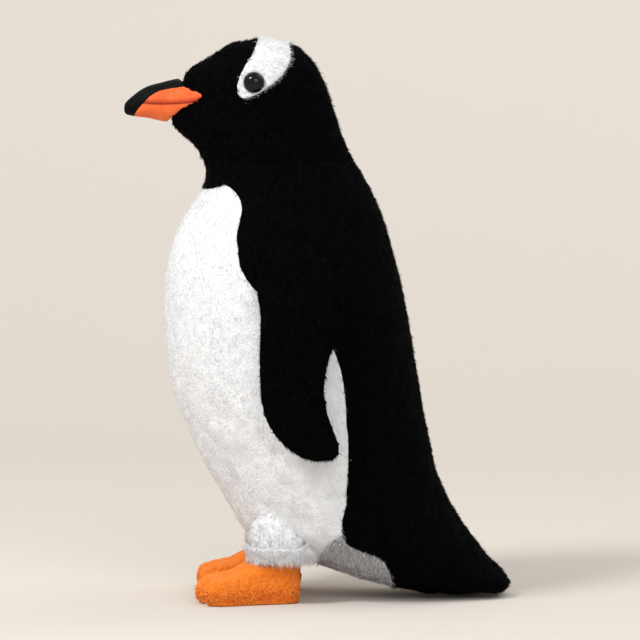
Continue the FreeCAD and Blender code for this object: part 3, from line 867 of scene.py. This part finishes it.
for side in SIDES:
    for node, material in ((f"eye_{side}", eye_gloss), (f"eye_washer_{side}", plastic)):
        for slot in NODES[node].material_slots:
            slot.material = material

# ---------------------------------------------------------------- pile on every plush piece


def plush(name, skin, body, slot, **look):
    hairs = grow(name, skin, **look)
    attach(hairs, body)


WHITE_LOOK = dict(length=3.2 * MM, width=0.27 * MM, lift=0.34)
BLACK_LOOK = dict(length=3.3 * MM, width=0.36 * MM, lift=0.32)
for number, (name, node, count, palette, slot, look) in enumerate((
    ("belly_panel_pile", "belly_panel", 19800, WHITE_PILE, "white_plush", WHITE_LOOK),
    ("belly_panel_undercoat", "belly_panel", 19800, WHITE_PILE, "white_plush", WHITE_LOOK),
    ("brow_band_pile", "brow_band", 5200, WHITE_PILE, "white_plush", WHITE_LOOK),
    # The seat's piles are painted shade: grey all over, and less dark in its upper part.
    ("seat_panel_pile", "seat_panel", 5500, SEAT_SHADE_PILE, "grey_plush", WHITE_LOOK),
    ("seat_panel_half_shaded_pile", "seat_panel", 5500, HALF_SHADE_PILE, "grey_plush", dict(WHITE_LOOK, where=seat_less_shaded)),
    ("head_panel_left_pile", "head_panel_left", 8500, BLACK_PILE, "black_plush", BLACK_LOOK),
    ("head_panel_right_pile", "head_panel_right", 8500, BLACK_PILE, "black_plush", BLACK_LOOK),
    ("back_panel_left_pile", "back_panel_left", 19800, BLACK_PILE, "black_plush", BLACK_LOOK),
    ("back_panel_right_pile", "back_panel_right", 19800, BLACK_PILE, "black_plush", BLACK_LOOK),
)):
    plush(name, body_skins[node], "body", slot, count=count, palette=palette, seed=100 + number, **look)
plush("brow_band_tufts", body_skins["brow_band"], "body", "white_plush", count=900, palette=WHITE_PILE,
      seed=115, length=4.6 * MM, width=0.3 * MM, lift=0.3, stray=1.1,
      where=near("head_panel_left", "head_panel_right", 1.6 * MM))
off_belly = away("belly_panel", 0.8 * MM)
for number, side in enumerate(SIDES):
    cover = flipper_skins[side][f"flipper_cover_{side}"]
    lining = flipper_skins[side][f"flipper_lining_{side}"]
    body = f"flipper_{side}"
    plush(f"flipper_cover_{side}_pile", cover, body, "black_plush", count=9000, palette=BLACK_PILE,
          seed=120 + number, length=3.0 * MM, width=0.36 * MM, lift=0.32)
    plush(f"flipper_lining_{side}_pile", lining, body, "flipper_lining", count=6000, palette=WHITE_PILE,
          seed=130 + number, length=2.2 * MM, width=0.3 * MM, lift=0.35,
          where=away(f"flipper_cover_{side}", 2.4 * MM))
    # Painted shade: the leg's white plush takes the greyer half-shaded pile, so that it shows no brighter
    # than the belly.
    plush(f"leg_cover_{side}_pile", leg_skins[side], "body", "white_plush", count=5000, palette=HALF_SHADE_PILE,
          seed=140 + number, hollow=False, where=off_belly, **WHITE_LOOK)
    plush(f"ankle_cuff_{side}_pile", cuff_skins[side], "body", "white_plush", count=5000, palette=WHITE_PILE,
          seed=150 + number, hollow=False, where=off_belly, **WHITE_LOOK)
    plush(f"ankle_cuff_{side}_fringe", cuff_skins[side], "body", "white_plush", count=1300,
          palette=WHITE_PILE, seed=155 + number, hollow=False,
          length=6.2 * MM, width=0.34 * MM, lift=0.16, stray=0.22,
          where=lambda points: (points[:, 2] < CUFF_FRINGE_Z) & off_belly(points))
    plush(f"foot_upper_{side}_nap", foot_skins[side][f"foot_upper_{side}"], "body", "foot_fleece", count=8000,
          palette=NAP_YARN, seed=160 + number, length=1.3 * MM, width=0.3 * MM, lift=0.3, stray=0.7)
    plush(f"foot_sole_{side}_loops", foot_skins[side][f"foot_sole_{side}"], "body", "foot_fleece", count=5200,
          palette=LOOP_YARN, seed=170 + number, length=2.0 * MM, width=0.5 * MM, lift=0.5,
          stray=1.2, clump=0.8,
          where=lambda points: points[:, 2] > 1.6 * MM)

# ---------------------------------------------------------------- floor, light and camera

FLOOR_SIZE = 6.0
BACK_X = -1.6
# The floor colour is a darker version of the backdrop's paper: painted shade on the floor, which the lamps
# light more.
SHADED_FLOOR_PAPER, WALL_PAPER = (0.642, 0.596, 0.537), (0.815, 0.762, 0.690)


def sweep():
    """A pale floor that curves up into a backdrop behind the toy."""
    bend, steps = 0.9, 16
    profile = [(FLOOR_SIZE / 2, 0.0), (BACK_X + bend, 0.0)]
    for step in range(1, steps + 1):
        angle = math.pi / 2 * step / steps
        profile.append((BACK_X + bend - bend * math.sin(angle), bend - bend * math.cos(angle)))
    profile.append((BACK_X, FLOOR_SIZE / 2))
    grid = bmesh.new()
    rows = [[grid.verts.new((x, y, z)) for x, z in profile] for y in (-FLOOR_SIZE, FLOOR_SIZE)]
    for k in range(len(profile) - 1):
        grid.faces.new((rows[0][k], rows[0][k + 1], rows[1][k + 1], rows[1][k]))
    mesh = bpy.data.meshes.new("studio_sweep")
    grid.to_mesh(mesh)
    grid.free()
    obj = new_object("studio_sweep", mesh)
    shade_smooth(obj)
    m = Nodes("studio_paper")
    split = m.node("ShaderNodeSeparateXYZ")
    m.link(m.place, split.inputs["Vector"])
    height = m.maths("ADD", split.outputs["Z"], m.maths("MULTIPLY", m.noise(3, 2), 0.02))
    # Painted shade: darker on the floor, paler up the backdrop.
    m.link(m.ramp(height, (0.0, SHADED_FLOOR_PAPER), (0.9, WALL_PAPER)), m.shader.inputs["Base Color"])
    m.set(Roughness=0.9, Specular_IOR_Level=0.1)
    mesh.materials.append(m.material)


def area_light(name, place, size, power):
    """A soft lamp aimed at the middle of the toy. size is in metres and power in watts."""
    light = bpy.data.lights.new(name, "AREA")
    light.shape = "RECTANGLE"
    light.size, light.size_y = size
    light.energy = power
    obj = new_object(name, light)
    obj.location = place
    obj.rotation_euler = (TOY_MIDDLE - Vector(place)).to_track_quat("-Z", "Y").to_euler()


TOY_MIDDLE = Vector((0.0, 0.0, 0.15))
sweep()
area_light("key", (0.75, -0.95, 1.45), size=(0.42, 0.42), power=20.5)
area_light("front_fill", (2.2, 0.5, 1.5), size=(1.6, 1.2), power=18.0)
area_light("back_fill", (-0.8, 1.2, 1.6), size=(1.2, 1.2), power=9.0)
world = bpy.data.worlds.new("studio_air")
world.use_nodes = True
world.node_tree.nodes["Background"].inputs["Color"].default_value = (0.97, 0.98, 1.0, 1.0)
world.node_tree.nodes["Background"].inputs["Strength"].default_value = 0.68
bpy.context.scene.world = world
bpy.context.scene.view_settings.view_transform = "Standard"

CAMERA_DISTANCE = 5.0
CAMERA_ELEVATION = math.radians(5.5)
SENSOR_WIDTH = 36.0
VIEW_WIDTH = 363.52 * MM  # across the picture at the toy
LOOK_AT = Vector((0.0, 0.5 * MM, 157.5 * MM))
camera_data = bpy.data.cameras.new("camera")
camera_data.sensor_width = SENSOR_WIDTH
camera_data.lens = SENSOR_WIDTH * CAMERA_DISTANCE / VIEW_WIDTH
camera = new_object("camera", camera_data)
towards_camera = Vector((math.cos(CAMERA_ELEVATION), 0, math.sin(CAMERA_ELEVATION)))
camera.location = LOOK_AT + towards_camera * CAMERA_DISTANCE
camera.rotation_euler = (LOOK_AT - camera.location).to_track_quat("-Z", "Y").to_euler()
bpy.context.scene.camera = camera
